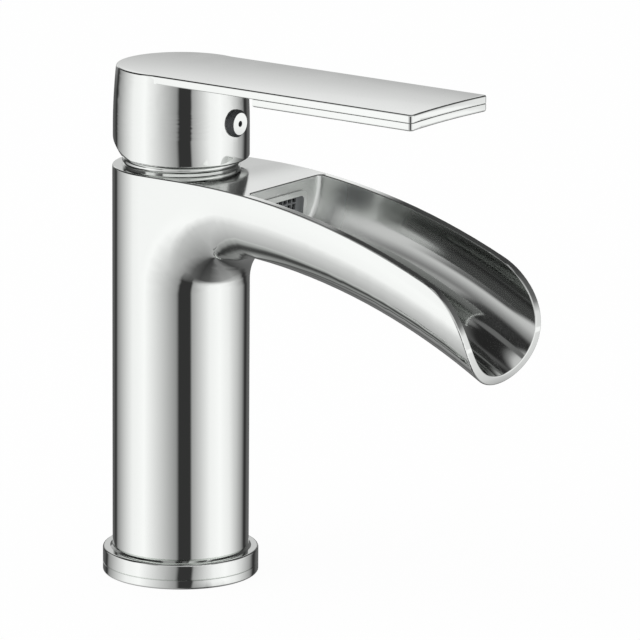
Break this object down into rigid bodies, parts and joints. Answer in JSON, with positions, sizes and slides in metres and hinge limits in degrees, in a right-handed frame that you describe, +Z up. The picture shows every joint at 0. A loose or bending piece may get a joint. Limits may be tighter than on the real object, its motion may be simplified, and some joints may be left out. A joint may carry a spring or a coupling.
{
  "type": "single-lever waterfall basin mixer",
  "caption": "Basin mixer tap with a round column, an open half-pipe waterfall spout and a flat lever on top that tilts for flow and turns for temperature.",
  "frame": {"origin": "where the column's axis meets the basin deck, in the underside of the base", "axes": "+Z up along the column, +X forward along spout and lever, +Y to the cold inlet's side"},
  "size_m": [0.1547, 0.0514, 0.17],
  "materials": {
    "chrome": "polished",
    "brass": "machined",
    "steel": "brushed",
    "rubber": "matte",
    "white_plastic": "satin",
    "grey_plastic": "satin",
    "ceramic": "lapped"
  },
  "bodies": {
    "tap_body": {"body_casting": "chrome", "base_ring": "chrome", "base_gasket": "rubber", "base_oring": "rubber", "cartridge_base": "white_plastic", "port_seals": "rubber", "disc_seals": "rubber", "fixed_disc": "ceramic", "cartridge_housing": "white_plastic", "cartridge_oring": "rubber", "limit_ring": "grey_plastic", "cartridge_nut": "brass", "trim_dome": "chrome", "dome_oring": "rubber", "outlet_frame": "chrome", "outlet_grid": "grey_plastic", "outlet_gasket": "rubber"},
    "swivel": {"stem_rotor": "grey_plastic", "stem_pin": "steel"},
    "lever": {"stem": "brass", "handle": "chrome", "grub_screw": "steel", "index_plug": "chrome"},
    "disc_set": {"disc_carrier": "grey_plastic", "moving_disc": "ceramic"}
  },
  "joints": [
    {"name": "handle_swivel", "type": "hinge", "parent": "tap_body", "child": "swivel", "pos_m": [0, 0, 0.138], "axis": [0, 0, 1], "range_deg": [-45, 45]},
    {"name": "lever_lift", "type": "hinge", "parent": "swivel", "child": "lever", "pos_m": [0, 0, 0.138], "axis": [0, -1, 0], "range_deg": [0, 17]},
    {"name": "disc_slide", "type": "slide", "parent": "swivel", "child": "disc_set", "axis": [1, 0, 0], "range_m": [0, 0.00326]}
  ],
  "couplings": [
    {"joint": "disc_slide", "follows": "lever_lift", "m_per_rad": 0.011}
  ]
}
